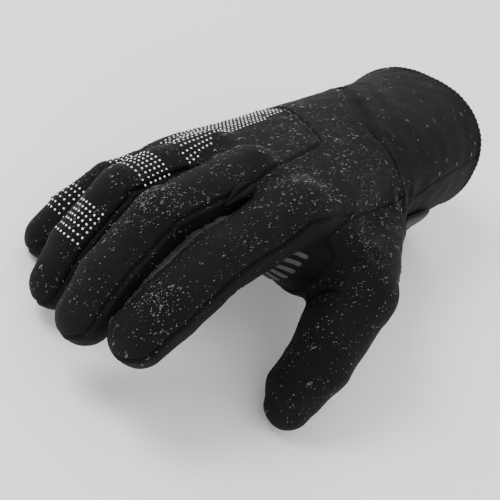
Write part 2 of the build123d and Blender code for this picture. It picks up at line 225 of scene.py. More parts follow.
WEB = (np.array([[-74, -36, -6], [-50, -50, -22]], float), np.array([12.0, 15.0]))
PALM_WEB = (np.array([[-98, -30, -11], [-80, -30, -18.5], [-64, -34, -29]], float),
            np.array([12.0, 13.5, 11.5]))
FINGER_GAP = 0.25

# How softly the parts of the distance field run into one another
SOFT = {"finger": 1.2, "thumb": 1.5, "web": 1, "palm_web": 3, "web_and_thumb": 6, "thumb_and_hand": 9,
        "palm_and_hand": 8, "fingers_and_hand": 4.5}


def fingers_distance(p):
    """Distance to the four fingers, each pressed flat against its neighbours, a small gap apart."""
    each = [chain_distance(p, digit.points, digit.radii, SOFT["finger"]) for digit in FINGERS]
    trimmed = []
    for i, own in enumerate(each):
        for j in (i - 1, i + 1):
            if 0 <= j < len(each):
                own = smooth_max(own, (own - each[j] + FINGER_GAP) / 2, 0.5)
        trimmed.append(own)
    return np.min(trimmed, axis=0)


def glove_distance(p):
    """The glove's distance field."""
    hand = body_distance(p)
    web = chain_distance(p, *WEB, SOFT["web"])
    thumb = chain_distance(p, THUMB.points, THUMB.radii, SOFT["thumb"])
    hand = smooth_min(hand, smooth_min(web, thumb, SOFT["web_and_thumb"]), SOFT["thumb_and_hand"])
    hand = smooth_min(hand, chain_distance(p, *PALM_WEB, SOFT["palm_web"]), SOFT["palm_and_hand"])
    return smooth_min(hand, fingers_distance(p), SOFT["fingers_and_hand"])


def gradient(p, field, step=0.05):
    g = np.empty_like(p)
    for axis in range(3):
        shift = np.zeros(3)
        shift[axis] = step
        g[:, axis] = (field(p + shift) - field(p - shift)) / (2 * step)
    return g


def onto_surface(p, field, rounds):
    for _ in range(rounds):
        g = gradient(p, field)
        steepness = np.maximum((g * g).sum(1), 0.2)
        p = p - g * np.clip(field(p) / steepness, -1.5, 1.5)[:, None]
    return p, unit(gradient(p, field))


# ---- meshes
def linked(name, data):
    """A new object of the scene."""
    piece = bpy.data.objects.new(name, data)
    bpy.context.scene.collection.objects.link(piece)
    return piece


def circle(count):
    """Cosine and sine at even steps round a circle."""
    angles = [2 * math.pi * k / count for k in range(count)]
    return [(math.cos(a), math.sin(a)) for a in angles]


def arrays(mesh):
    """Vertex positions and quads or triangles of a mesh as arrays."""
    v = np.empty(len(mesh.vertices) * 3)
    mesh.vertices.foreach_get("co", v)
    return v.reshape(-1, 3), [tuple(f.vertices) for f in mesh.polygons]


def rough_form(shrink):
    """A crude closed form of the glove in millimetres: balls along every digit and a lofted palm."""
    work = bmesh.new()
    chains = [(digit.points, digit.radii) for digit in DIGITS] + [WEB, PALM_WEB]
    for points, radii in chains:
        for start, end, r0, r1 in zip(points, points[1:], radii, radii[1:]):
            steps = max(2, int(norm(end - start) / 2.5))
            for i in range(steps + 1):
                t = i / steps
                place = Matrix.Translation(Vector(start + (end - start) * t))
                bmesh.ops.create_icosphere(work, subdivisions=3, radius=r0 + (r1 - r0) * t - shrink,
                                           matrix=place)
    rings = []
    xs = np.linspace(STATIONS[0, 0] + 5, 90, 60)
    table = station(xs)
    for x, s in zip(xs, table):
        ring = []
        for cosine, sine in circle(PALM_SIDES):
            u, w = (s[3] - shrink) * cosine, (s[4] - shrink) * sine
            roll = math.radians(s[5])
            y = s[1] + u * math.cos(roll) - w * math.sin(roll)
            z = s[2] + u * math.sin(roll) + w * math.cos(roll)
            lean = (HEM_CENTRE[0] - ((y - HEM_CENTRE[1]) * HEM_AXIS[1] + (z - HEM_CENTRE[2]) * HEM_AXIS[2])
                    / HEM_AXIS[0])
            ring.append(work.verts.new((min(max(x, float(front_edge(y)) + 3), lean), y, z)))
        rings.append(ring)
    for before, after in zip(rings, rings[1:]):
        for k in range(PALM_SIDES):
            j = (k + 1) % PALM_SIDES
            work.faces.new((before[k], before[j], after[j], after[k]))
    work.faces.new(rings[0][::-1])
    work.faces.new(rings[-1])
    bmesh.ops.recalc_face_normals(work, faces=work.faces)
    mesh = bpy.data.meshes.new("rough_form")
    work.to_mesh(mesh)
    work.free()
    return linked("rough_form", mesh)


def remeshed(piece, voxel):
    """Vertices and faces of a piece after a voxel remesh. The piece is removed."""
    modifier = piece.modifiers.new("remesh", "REMESH")
    modifier.mode = "VOXEL"
    modifier.voxel_size = voxel
    modifier.adaptivity = 0
    graph = bpy.context.evaluated_depsgraph_get()
    evaluated = piece.evaluated_get(graph)
    mesh = bpy.data.meshes.new_from_object(evaluated)
    v, f = arrays(mesh)
    old = piece.data
    bpy.data.objects.remove(piece)
    bpy.data.meshes.remove(old)
    bpy.data.meshes.remove(mesh)
    return v, f


# ---- skin
def build_skin():
    """Vertices, faces and normals of the whole outer skin, in millimetres, before seams."""
    v, f = remeshed(rough_form(ROUGH_SHRINK), VOXEL)
    v, n = onto_surface(v, glove_distance, 8)
    return v, f, n


def face_table(faces):
    """Faces as an array of four vertex numbers, a triangle's last one twice."""
    return np.array([f if len(f) == 4 else (f[0], f[1], f[2], f[2]) for f in faces])


def vertex_normals(v, quads):
    a, b, c, d = (v[quads[:, k]] for k in range(4))
    cross = np.cross(c - a, d - b)
    n = np.zeros_like(v)
    for k in range(4):
        np.add.at(n, quads[:, k], cross)
    return unit(n + 1e-12)


# ---- where the seams run
# Each seam is the zero line of a height over the skin, in millimetres. Columns of a row of the
# skin's table: place, normal, then these heights.
BACK, BACK_DIGIT, PALM_DIGIT, OUTER, CUFF, GUSSET, THUMB_BASE, THUMB_SPLIT, HEM, MIDDLE, PLANE = range(6, 17)
THUMB_SIDE_SEAM = {"index": 0.33, "middle": 0.6, "ring": 0.65, "little": 0.66, "thumb": -0.05}
OTHER_SIDE_SEAM = {"index": 0.12, "middle": 0.3, "ring": 0.3, "little": 0.15, "thumb": -0.05}
PALM_SEAM = -0.55
SEAM_LINE = np.polyfit([-116, -105, -90, -80, -64, -48, -31, -19, 0],
                       [-2.5, 3.4, 6.3, 7.0, 4.8, 3.4, 4.0, 6.2, 7.0], 4)
THUMB_BASE_FRONT = ([-50, -36.7, -12.6, -5.1, 0, 3.2, 4.8, 12],
                    [-70, -72.4, -74, -80.9, -79.3, -75.5, -63.7, -30])
GUSSET_LINE = ([0, 20, 43, 71, 95], [0, 5.8, 9.4, 12, 14])
NEAR_START = -1.5
THUMB_BLEND = unit([-0.083, -0.729, -0.68])


def ease(t):
    t = np.clip(t, 0, 1)
    return t * t * (3 - 2 * t)


def near_middle(digit):
    """How far past the base hinge the first link's fabric is cut from the second's."""
    reach = norm(digit.middle - digit.base)
    return 28.0 if digit is THUMB else reach / 2


def seam_table(p, n):
    """Table of rows: places, normals and the heights over every seam."""
    found = [digit.locate(p) for digit in DIGITS]
    ratios = np.array([best / np.mean(digit.radii) for digit, (_, _, _, best) in zip(DIGITS, found)])
    nearest = ratios.argmin(0)
    take = np.arange(len(p))
    along, height, side = (np.array([f[k] for f in found])[nearest, take] for k in range(3))
    each = [(d.radii[2], THUMB_SIDE_SEAM[d.name], OTHER_SIDE_SEAM[d.name], norm(d.points[1] - d.points[0]))
            for d in DIGITS]
    radius, first_side, second_side, root = np.array(each)[nearest].T
    rows = np.zeros((len(p), PLANE + len(DIGITS)))
    rows[:, :3], rows[:, 3:6] = p, n
    x, y, z = p.T
    seam = second_side + (first_side - second_side) * ease(side + 0.5)
    rows[:, BACK_DIGIT] = (height - seam) * radius
    rows[:, PALM_DIGIT] = (height - PALM_SEAM) * radius
    other = np.interp(x, [-116, -88, -60, 0], [-16, -13, -8, -3])
    hand_back = z - (np.polyval(SEAM_LINE, x) + (other - np.polyval(SEAM_LINE, x)) * ease((y + 12) / 24))
    share = ease((along - 5) / (root - 8)) * (nearest < len(FINGERS))
    rows[:, BACK] = hand_back * (1 - share) + rows[:, BACK_DIGIT] * share
    rows[:, OUTER] = smooth_min(y + 23.4 - (x + 112) * 0.125, (y + 15) * 0.5 - 57 - x, 3)
    rows[:, CUFF] = x - np.minimum(-23 + 0.018 * (y + 20) ** 2, 10)
    gusset = np.interp(x, *GUSSET_LINE)
    rows[:, GUSSET] = z - (gusset + (-11 - gusset) * ease((y + 10) / 30))
    rows[:, THUMB_BASE] = smooth_min(x - np.interp(z, *THUMB_BASE_FRONT), -14 - y, 4)
    thumb_height = found[-1][1]
    rows[:, THUMB_SPLIT] = (thumb_height - THUMB_SIDE_SEAM["thumb"]) * THUMB.radii[2]
    rows[:, HEM] = -1.0 - (p - HEM_CENTRE) @ HEM_AXIS
    for k, digit in enumerate(DIGITS):
        if digit is THUMB:
            beyond = (p - digit.base) @ THUMB_BLEND
        else:
            beyond = (p - digit.base) @ digit.first - NEAR_START
        rows[:, PLANE + k] = np.where(nearest == k, beyond, -5)
        own = nearest == k
        rows[own, MIDDLE] = ((p - digit.base) @ digit.first - near_middle(digit))[own]
    return rows


def cut(rows, faces, level):
    """The faces above and below the zero line of a level, with new rows where it crosses an edge."""
    level = np.where(np.abs(level) < 0.12, 0.0, level)
    quads = face_table(faces)
    lowest, highest = level[quads].min(1), level[quads].max(1)
    above = [f for f, ok in zip(faces, lowest >= 0) if ok]
    below = [f for f, ok in zip(faces, (highest <= 0) & (lowest < 0)) if ok]
    added, made = [], {}

    def crossing(a, b):
        key = (a, b) if a < b else (b, a)
        if key not in made:
            made[key] = len(rows) + len(added)
            added.append(rows[a] + (rows[b] - rows[a]) * (level[a] / (level[a] - level[b])))
        return made[key]

    for face, split in zip(faces, (lowest < 0) & (highest > 0)):
        if not split:
            continue
        up, down = [], []
        for a, b in zip(face, face[1:] + face[:1]):
            if level[a] >= 0:
                up.append(a)
            if level[a] <= 0:
                down.append(a)
            if level[a] * level[b] < 0:
                c = crossing(a, b)
                up.append(c)
                down.append(c)
        for ring, group in ((up, above), (down, below)):
            while len(ring) > 4:
                group.append(tuple(ring[:4]))
                ring = [ring[0]] + ring[3:]
            if len(ring) > 2:
                group.append(tuple(ring))
    if added:
        rows = np.vstack([rows, added])
    return rows, above, below


def shared(first, second):
    """Row numbers that two groups of faces share: the seam between them."""
    return set(i for f in first for i in f) & set(i for f in second for i in f)


def split_skin(rows, faces, panels=True):
    """The skin's faces by piece, and the row numbers on its seams, where the cuff's are apart.
    Linings need no panels."""
    groups, seams, cuff_seams = {}, set(), set()
    rows, faces, _ = cut(rows, faces, rows[:, HEM])
    for k, digit in enumerate(DIGITS):
        rows, beyond, faces = cut(rows, faces, rows[:, PLANE + k])
        rows, far, near = cut(rows, beyond, rows[:, MIDDLE])
        for part, piece in (("near", near), ("far", far)):
            name = f"{digit.name}_{part}"
            if not panels:
                groups[name + "_lining"] = piece
                continue
            rows, back, rest = cut(rows, piece, rows[:, BACK_DIGIT])
            seams |= shared(back, rest)
            rows, sides, palm = cut(rows, rest, rows[:, PALM_DIGIT])
            seams |= shared(sides, palm)
            groups.update({name + "_back": back, name + "_sides": sides, name + "_palm": palm})
    rows, cuff, hand = cut(rows, faces, rows[:, CUFF])
    if not panels:
        groups.update(hand_lining=hand, cuff_lining=cuff)
        return rows, groups, seams, cuff_seams
    cuff_seams |= shared(cuff, hand)
    rows, cuff_back, gusset = cut(rows, cuff, rows[:, GUSSET])
    rows, back, lower = cut(rows, hand, rows[:, BACK])
    rows, outer, index_side = cut(rows, back, rows[:, OUTER])
    rows, thumb, palm = cut(rows, lower, rows[:, THUMB_BASE])
    rows, thumb_back, thumb_palm = cut(rows, thumb, rows[:, THUMB_SPLIT])
    cuff_seams |= shared(cuff_back, gusset)
    for first, second in ((back, lower), (outer, index_side), (thumb, palm),
                          (thumb_back, thumb_palm)):
        seams |= shared(first, second)
    groups.update(cuff_back_panel=cuff_back, cuff_gusset=gusset, hand_back_outer_panel=outer,
                  hand_back_index_panel=index_side, hand_palm_panel=palm, thumb_base_back=thumb_back,
                  thumb_base_palm=thumb_palm)
    return rows, groups, seams, cuff_seams


# ---- relief of the skin
GROOVE_DEPTH, GROOVE_WIDTH = 0.95, 0.6
LIP_HEIGHT, LIP_AT, LIP_WIDTH = 0.26, 1.9, 0.9


def seam_relief(places, seam_places, depth):
    """Height of the skin beside its seams: a groove where two panels are turned in and sewn, and a
    low rolled lip next to it."""
    tree = kdtree.KDTree(len(seam_places))
    for i, place in enumerate(seam_places):
        tree.insert(place, i)
    tree.balance()
    d = np.array([tree.find(place)[2] for place in places])
    groove = -GROOVE_DEPTH * np.exp(-(d / GROOVE_WIDTH) ** 2)
    return depth * (groove + LIP_HEIGHT * np.exp(-((d - LIP_AT) / LIP_WIDTH) ** 2))


def soft_relief(p):
    """Slight unevenness of padded fabric over a hand, and creases where it bends."""
    x, y, z = p.T
    waves = (np.sin(x * 0.31 + y * 0.17 + 1.3) * np.sin(y * 0.27 - z * 0.21)
             + 0.6 * np.sin(x * 0.13 - z * 0.47 + 0.6) * np.sin(y * 0.41 + x * 0.11 + 2.1))
    total = 0.16 * waves
    for digit in DIGITS:
        along, height, _, best = digit.locate(p)
        on = best < digit.radii[2] * 1.35
        reach = norm(digit.points[1] - digit.points[0])
        joint = reach + norm(digit.points[2] - digit.points[1])
        inner = ease((0.1 - height) / 0.8) * on
        for at, depth in ((joint - 3, 0.5), (joint + 2.5, 0.8), (joint + 8, 0.4), (reach + 2, 0.2)):
            wander = at + 0.8 * np.sin(height * 3 + digit.radii[0])
            total -= depth * inner * np.exp(-((along - wander) / 1.4) ** 2)
    return total + crease_relief(p)


# Folds in the fabric: three points of each, its depth and its half width
CREASES = [
    ((-58, -60, -8), (-50, -62, -14), (-40, -58, -14), 1.0, 2.2),
    ((-66, -56, -14), (-58, -64, -20), (-48, -67, -24), 0.8, 2.0),
    ((-60, -62, -24), (-50, -70, -30), (-42, -70, -30), 0.6, 2.2),
    ((9, 22.8, 27), (-14, -4, 29), (-23.5, -20, 25), 0.8, 2.4),
    ((24, 22, 30), (8, 2, 31), (-8, -18, 28), 0.5, 3.0),
    ((-20, -42, 6), (-12, -43, -4), (-10, -40, -14), 1.6, 3.0),
    ((-4, -38, 6), (0, -37, -6), (2, -33, -18), 1.0, 2.4),
]


def crease_relief(p):
    total = np.zeros(len(p))
    for start, middle, end, depth, width in CREASES:
        route = bezier(np.array([start, middle, end], float), 24)
        d = np.min([norm(p - q, axis=1) for q in route], axis=0)
        total -= depth * np.exp(-(d / width) ** 2) - depth * 0.45 * np.exp(-((d - width * 2) / width) ** 2)
    return total


def bezier(points, steps):
    """Points along a quadratic curve that passes through its middle point."""
    a, m, b = points
    control = 2 * m - (a + b) / 2
    t = np.linspace(0, 1, steps)[:, None]
    return a * (1 - t) ** 2 + control * 2 * t * (1 - t) + b * t * t


# ---- pieces
def closed_shell(name, rows, faces, normals, thickness, inset=0.0):
    """A panel as a closed solid: its outer face, its inner face and the turned-in edge between."""
    quads = face_table(faces)
    used = np.unique(quads)
    place_of = np.full(len(rows), -1)
    place_of[used] = np.arange(len(used))
    outer = rows[used, :3] - normals[used] * inset
    inner = outer - normals[used] * thickness
    count = len(used)
    front = [tuple(int(place_of[i]) for i in f) for f in faces]
    edges = dict.fromkeys((a, b) for f in front for a, b in zip(f, f[1:] + f[:1]))
    rim = [(b, a, a + count, b + count) for a, b in edges if (b, a) not in edges]
    back = [tuple(i + count for i in f[::-1]) for f in front]
    mesh = bpy.data.meshes.new(name)
    mesh.from_pydata(to_row(np.vstack([outer, inner])).tolist(), [], front + back + rim)
    mesh.polygons.foreach_set("use_smooth", np.ones(len(mesh.polygons), bool))
    turned = normals[used] @ TURN.T
    loops = np.array([i for f in front + back for i in f])
    vertex_normal = np.vstack([turned, -turned])
    custom = np.zeros((len(mesh.loops), 3))
    custom[:len(loops)] = vertex_normal[loops]
    mesh.normals_split_custom_set(custom.tolist())
    mesh.validate()
    return linked(name, mesh)


def attach(piece, body):
    """Parent a piece to its body when that body is the hand or the strap tab; a piece of a digit only has its
    transform baked into its mesh.
    """
    if body in ("hand", "strap_tab"):
        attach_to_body(piece, body)
        return
    name, part = body.rsplit("_", 1)
    digit = next(d for d in DIGITS if d.name == name)
    middle = near_middle(digit)
    if part == "near" and digit is THUMB:
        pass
    elif part == "near":
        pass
    else:
        reach = norm(digit.middle - digit.base)
    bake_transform(piece)


def slot_of(name):
    if "lining" in name:
        return "lining"
    if name.startswith("cuff"):
        return "neoprene"
    if name.endswith(("_palm", "_sides")) or "palm_panel" in name:
        return "palm_fabric"
    return "softshell"


def body_of_node(node):
    bodies = frame["record"]["behaviour"]["bodies"]
    return next(body for body, nodes in bodies.items() if node in nodes)


def make_panels():
    """Every outer panel of the glove, each in place of its plain solid. Returns the skin's rows, the
    faces of each piece and the rows' normals."""
    v, f, n = build_skin()
    rows, groups, seams, cuff_seams = split_skin(seam_table(v, n), f)
    relief = soft_relief(rows[:, :3])
    for group, depth in ((seams, 1.0), (cuff_seams, 0.5)):
        relief += seam_relief(rows[:, :3], rows[sorted(group), :3], depth)
    rows[:, :3] = rested(rows[:, :3] + rows[:, 3:6] * relief[:, None])
    every = face_table([face for group in groups.values() for face in group])
    normals = vertex_normals(rows[:, :3], every)
    for name, faces in groups.items():
        cuff = name.startswith("cuff")
        piece = closed_shell(name + "_cloth", rows, faces, normals, CUFF_CLOTH if cuff else CLOTH)
        finish(piece, slot_of(name))
        attach(piece, body_of_node(name))
        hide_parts(name)
    return rows, groups, normals


def rested(places):
    """Places kept above what the glove stands on: soft fabric flattens where it rests."""
    row = to_row(places)
    row[:, 2] = smooth_max(row[:, 2], np.full(len(row), FLOOR_GAP * MM), FLOOR_SOFT * MM)
    return to_hand(row)


def make_linings():
    """The bonded lining inside every part of the glove."""
    v, f = remeshed(rough_form(ROUGH_SHRINK), LINING_VOXEL)
    v, n = onto_surface(v, glove_distance, 6)
    rows, groups, _, _ = split_skin(seam_table(v, n), f, panels=False)
    for name, faces in groups.items():
        inset = CUFF_LINING_INSET if name == "cuff_lining" else LINING_INSET
        piece = closed_shell(name + "_fleece", rows, faces, rows[:, 3:6], FLEECE, inset)
        finish(piece, "lining")
        attach(piece, body_of_node(name))
        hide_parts(name)


def finish(piece, slot):
    piece.data.materials.append(MATERIALS[slot])


def joined(name, places, faces, slot):
    """One piece from places in the hand's frame."""
    mesh = bpy.data.meshes.new(name)
    mesh.from_pydata(to_row(places).tolist(), [], faces)
    mesh.polygons.foreach_set("use_smooth", np.ones(len(mesh.polygons), bool))
    mesh.validate()
    piece = linked(name, mesh)
    finish(piece, slot)
    return piece


# ---- cuff trims
def cuff_point(x, angle, out):
    """A point of the cuff: angle in degrees from the little finger's side over the back."""
    s = station(np.array([x]))[0]
    c, w = math.cos(math.radians(angle)), math.sin(math.radians(angle))
    reach = (abs(c / s[3]) ** SECTION_POWER + abs(w / s[4]) ** SECTION_POWER) ** (-1 / SECTION_POWER)
    slope = unit([0, c / s[3] ** 2, w / s[4] ** 2])
    return np.array([x, s[1] + c * reach, s[2] + w * reach]) + slope * out


def ring_faces(rings, around, closed):
    """Quads over rings of points, each ring closed; ends capped unless the rings close too."""
    faces = []
    last = rings if closed else rings - 1
    for i in range(last):
        for k in range(around):
            a, b = i * around + k, i * around + (k + 1) % around
            c, d = ((i + 1) % rings) * around + (k + 1) % around, ((i + 1) % rings) * around + k
            faces.append((a, b, c, d))
    if not closed:
        faces.append(tuple(range(around))[::-1])
        faces.append(tuple((rings - 1) * around + k for k in range(around)))
    return faces


def rounded(width, thickness, points=28, power=5.0):
    """A rounded rectangle about the origin."""
    outline = []
    for c, w in circle(points):
        outline.append((math.copysign(abs(c) ** (2 / power), c) * width / 2,
                        math.copysign(abs(w) ** (2 / power), w) * thickness / 2))
    return outline


STRAP_FROM, STRAP_WIDTH = 8.0, 27.0
PATCH, STRAP_THICK, STRAP_AIR = 0.9, 2.2, 0.3


def wrist_band(name, inner, outer, first, last, slot, width=STRAP_WIDTH):
    """A band round the cuff between two angles from the little finger's side towards the palm."""
    steps = max(4, int(abs(last - first) / 1.5))
    profile = rounded(width, outer - inner)
    places = []
    for i in range(steps + 1):
        angle = first + (last - first) * i / steps
        end = min(i, steps - i, 2) / 2
        pinch = 0.55 + 0.45 * math.sqrt(end) if end < 1 else 1.0
        for across, up in profile:
            x = STRAP_FROM + STRAP_WIDTH / 2 + across * (1 - 0.06 * (1 - pinch))
            places.append(cuff_point(x, angle, (inner + outer) / 2 + up * pinch))
    faces = ring_faces(steps + 1, len(profile), False)
    return joined(name, places, faces, slot)


def point_at(along, reach, points):
    """The point at a distance along a line whose points lie at the distances in reach."""
    return np.array([np.interp(along, reach, points[:, k]) for k in range(3)])


def stitch_run(name, route, normals, pitch, slot, length=1.5, radius=0.22):
    """Separate stitches along a line of points, each a short pad of thread."""
    gaps = norm(np.diff(route, axis=0), axis=1)
    reach = np.concatenate([[0], np.cumsum(gaps)])
    places, faces = [], []
    for at in np.arange(pitch / 2, reach[-1], pitch):
        middle = point_at(at, reach, route)
        forward = unit(point_at(at + 0.3, reach, route) - middle)
        out = unit(point_at(at, reach, normals))
        across = np.cross(out, forward)
        base = len(places)
        for t, r in ((-0.5, 0.35), (-0.3, 0.9), (0, 1.0), (0.3, 0.9), (0.5, 0.35)):
            for cosine, sine in circle(6):
                outwards = across * cosine + out * sine
                places.append(middle + forward * (t * length) + outwards * radius * r)
        faces += [tuple(base + i for i in face) for face in ring_faces(5, 6, False)]
    return joined(name, np.array(places), faces, slot)


def make_hem():
    """Binding rolled over the cuff's edge, and its two rows of stitches."""
    side = unit(np.cross([0, 0, 1], HEM_AXIS))
    upward = np.cross(HEM_AXIS, side)
    rings = 180
    profile = rounded(3.4, 4.5, 24, 3.0)
    places, routes, outs = [], ([], []), ([], [])
    for i in range(rings):
        a = 2 * math.pi * i / rings
        way = side * math.cos(a) + upward * math.sin(a)
        reach = 36.0
        for _ in range(12):
            probe = HEM_CENTRE + way * reach - HEM_AXIS * 4
            reach -= float(body_distance(probe[None, :])[0])
        edge = HEM_CENTRE + way * reach
        ripple = 0.1 * math.sin(7 * a) + 0.05 * math.sin(19 * a + 1)
        for along, out in profile:
            places.append(edge + HEM_AXIS * (along - 0.4) + way * (out - 1.75 + ripple))
        for k, along in enumerate((-1.3, 0.6)):
            routes[k].append(edge + HEM_AXIS * along + way * (0.44 + ripple))
            outs[k].append(way)
    hem = joined("cuff_hem_binding", places, ring_faces(rings, len(profile), True), "binding")
    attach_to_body(hem, "hand")
    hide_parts("cuff_hem")
    for k in range(2):
        thread = stitch_run(f"cuff_hem_stitches_{k + 1}", np.array(routes[k]), np.array(outs[k]), 2.6,
                            "binding", 1.7, 0.17)
        thread.data.materials[0] = MATERIALS["thread"]
        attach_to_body(thread, "hand")


def make_strap():
    """Wrist strap: sewn anchor, loop patch on the cuff, and the tab with hook patch and pull."""
    hook_out = PATCH + STRAP_AIR + PATCH
    bands = [
        ("strap_anchor", 0.05, PATCH + STRAP_AIR + STRAP_THICK, 196, 214.4, "webbing", "hand"),
        ("strap_loop_patch", 0.05, PATCH, 250, 322, "loop_tape", "hand"),
        ("strap_hook_patch", PATCH + STRAP_AIR, hook_out, 262, 312, "hook_tape", "strap_tab"),
        ("strap_tab", hook_out, hook_out + STRAP_THICK, 215, 319, "webbing", "strap_tab"),
        ("strap_pull", hook_out - 0.7, hook_out + STRAP_THICK + 0.7, 318, 327, "rubber_pull", "strap_tab"),
    ]
    for name, inner, outer, first, last, slot, body in bands:
        width = STRAP_WIDTH + (1.2 if name == "strap_pull" else 0)
        piece = wrist_band(name + "_band", inner, outer, first, last, slot, width)
        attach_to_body(piece, body)
        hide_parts(name)
    top = hook_out + STRAP_THICK + 0.05
    for k, x in enumerate((STRAP_FROM + 2.2, STRAP_FROM + STRAP_WIDTH - 2.2)):
        angles = np.linspace(217, 316, 120)
        route = np.array([cuff_point(x, a, top) for a in angles])
        outs = unit(np.array([cuff_point(x, a, top + 1) for a in angles]) - route)
        thread = stitch_run(f"strap_tab_stitches_{k + 1}", route, outs, 2.4, "webbing")
        thread.data.materials[0] = MATERIALS["thread"]
        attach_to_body(thread, "strap_tab")


# The fold over the gap between index and middle finger
FOLD_START, FOLD_END, FOLD_UP = (-110, -23.7, 9.4), (-126, -25.6, 1.9), (-0.35, -0.2, 1.0)


# ---- prints and water
def dome(radius, height, around=8):
    """A small closed dome: places about the origin, +Z out, and its faces."""
    places = []
    for share, up in ((1.0, -0.5), (1.0, 0.3), (0.72, 0.8)):
        for cosine, sine in circle(around):
            places.append((radius * share * cosine, radius * share * sine, height * up))
    places.append((0, 0, height))
    faces = ring_faces(3, around, False)[:-1]
    top = 2 * around
    faces += [(top + k, top + (k + 1) % around, 3 * around) for k in range(around)]
    return np.array(places), faces


def scatter(name, spots, outs, shape, slot, sizes=None, stretch=None):
    """Copies of a small shape on the skin as one piece per body: name_body."""
    by_body = {}
    rows = seam_table(spots, outs)
    for i in range(len(spots)):
        body = "hand"
        for k, digit in enumerate(DIGITS):
            if rows[i, PLANE + k] > 0:
                body = f"{digit.name}_{'far' if rows[i, MIDDLE] > 0 else 'near'}"
        by_body.setdefault(body, []).append(i)
    local, faces = shape
    pieces = {}
    for body, numbers in by_body.items():
        places, all_faces = [], []
        for i in numbers:
            out = outs[i]
            across = unit(np.cross(out, [0.3, 0.9, 0.2]))
            third = np.cross(out, across)
            size = 1.0 if sizes is None else sizes[i]
            long = (1.0, 1.0) if stretch is None else (stretch[i], 1 / math.sqrt(stretch[i]))
            base = len(places) * len(local)
            places.append(spots[i] + size * (local[:, :1] * across * long[0] + local[:, 1:2] * third * long[1]
                                             + local[:, 2:3] * out))
            all_faces += [tuple(base + k for k in face) for face in faces]
        pieces[body] = joined(f"{name}_{body}", np.vstack(places), all_faces, slot)
        attach(pieces[body], body)
    return pieces


def on_digit(digit, alongs, angles):
    """Points outside a digit at distances along it and angles round it, 0 over its back."""
    lengths = np.concatenate([[0], np.cumsum(norm(np.diff(digit.points, axis=0), axis=1))])
    spots = []
    for along in alongs:
        before, after, far_before, far_after = (point_at(along + step, lengths, digit.points)
                                                for step in (-3, 3, -6, 6))
        centre = (before + after) / 2
        forward = unit(far_after - far_before)
        dorsal = unit(np.cross(forward, digit.axis))
        radius = np.interp(along, lengths, digit.radii)
        for angle in angles:
            a = math.radians(angle)
            spots.append(centre + (dorsal * math.cos(a) + digit.axis * math.sin(a)) * radius)
    return spots


def make_dots():
    """Reflective dots: two grids each on the ring and little fingers, and one over the outer back."""
    pitch = 2.3
    ring, little = FINGERS[2], FINGERS[3]
    spots = []
    for digit, grids in ((ring, ((32, 45, -42, 52), (60, 76, -34, 42))),
                         (little, ((27, 37.5, -36, 50), (51, 63, -40, 46)))):
        turn = math.degrees(pitch / digit.radii[2])
        for start, end, low, high in grids:
            spots += on_digit(digit, np.arange(start, end, pitch), np.arange(low, high, turn))
    for x in np.arange(-112, -42, pitch):
        for y in np.arange(4.5, 38, pitch):
            low = np.interp(x, [-112, -98, -92, -44], [6, 8, 13, 14])
            if low < y < min(40 - 0.06 * (x + 112), 2 * (x + 118)):
                s = station(np.array([x]))[0]
                spots.append((x, y, s[2] + s[4] * 0.9 - 8 * max(y / 45, 0) ** 2))
    spots, outs = onto_surface(np.array(spots, float), glove_distance, 10)
    keep = outs[:, 2] > -0.35
    spots = spots + outs * soft_relief(spots)[:, None]
    pieces = scatter("reflective_dots", spots[keep], outs[keep], dome(0.46, 0.22), "reflective_print")
    for name in ("ring", "little"):
        for part in ("near", "far"):
            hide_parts(f"{name}_{part}_dots")


def strip(route, outs, width, rise):
    """A rounded print line over points of the skin."""
    places = []
    profile = rounded(width, rise * 2, 10, 3.0)
    for i, (place, out) in enumerate(zip(route, outs)):
        ahead = route[min(i + 1, len(route) - 1)] - route[max(i - 1, 0)]
        across = unit(np.cross(out, ahead))
        end = 0.45 if i in (0, len(route) - 1) else 1.0
        for side, up in profile:
            places.append(place + across * side * end + out * up * end)
    return places, ring_faces(len(route), len(profile), False)


# Ends of the silicone bars nearest the wrist, round the edge of the palm from the thumb's side
BAR_FEET = [(-83, -44.5, -15.6), (-84.5, -43.5, -19.2), (-84.5, -42, -23), (-84.5, -39.8, -26.7),
            (-83.5, -36.4, -29), (-82, -32.4, -30), (-80.5, -28.2, -30), (-79, -24, -30), (-77.5, -19.8, -30)]
BAR_RUN = np.array([-18.5, 6.3, 5.5])


def print_bars(name, routes, width):
    """Silicone bars along lines of points on the skin, as one piece."""
    places, faces = [], []
    for route, outs in routes:
        p, f = strip(route, outs, width, 0.45)
        faces += [tuple(len(places) + i for i in face) for face in f]
        places += p
    return joined(name, places, faces, "silicone_print")


def make_bars():
    """Silicone grip bars over the palm, and short ones on the thumb."""
    routes = []
    for foot in BAR_FEET:
        route = np.array(foot) + BAR_RUN * np.linspace(0, 1, 22)[:, None]
        route, outs = onto_surface(route, glove_distance, 14)
        routes.append((route + outs * soft_relief(route)[:, None], outs))
    bars = print_bars("palm_grip_bars_print", routes, 2.1)
    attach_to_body(bars, "hand")
    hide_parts("palm_grip_bars")
    routes = []
    for along in np.arange(74, 92, 4.0):
        route = np.array(on_digit(THUMB, [along], np.linspace(118, 178, 10)))
        routes.append(onto_surface(route, glove_distance, 10))
    attach(print_bars("thumb_grip_bars_print", routes, 1.8), "thumb_far")


# Wet places: centre, reach and how much denser the water stands there
WET_PLACES = [((-91, -34, 15), 9, 6), ((-168, -40, -26), 6, 8), ((-150, -12, -2), 9, 5),
              ((-142, 12, 0), 8, 3), ((-60, -20, 22), 22, 1.5), ((-55, -55, -5), 12, 2)]


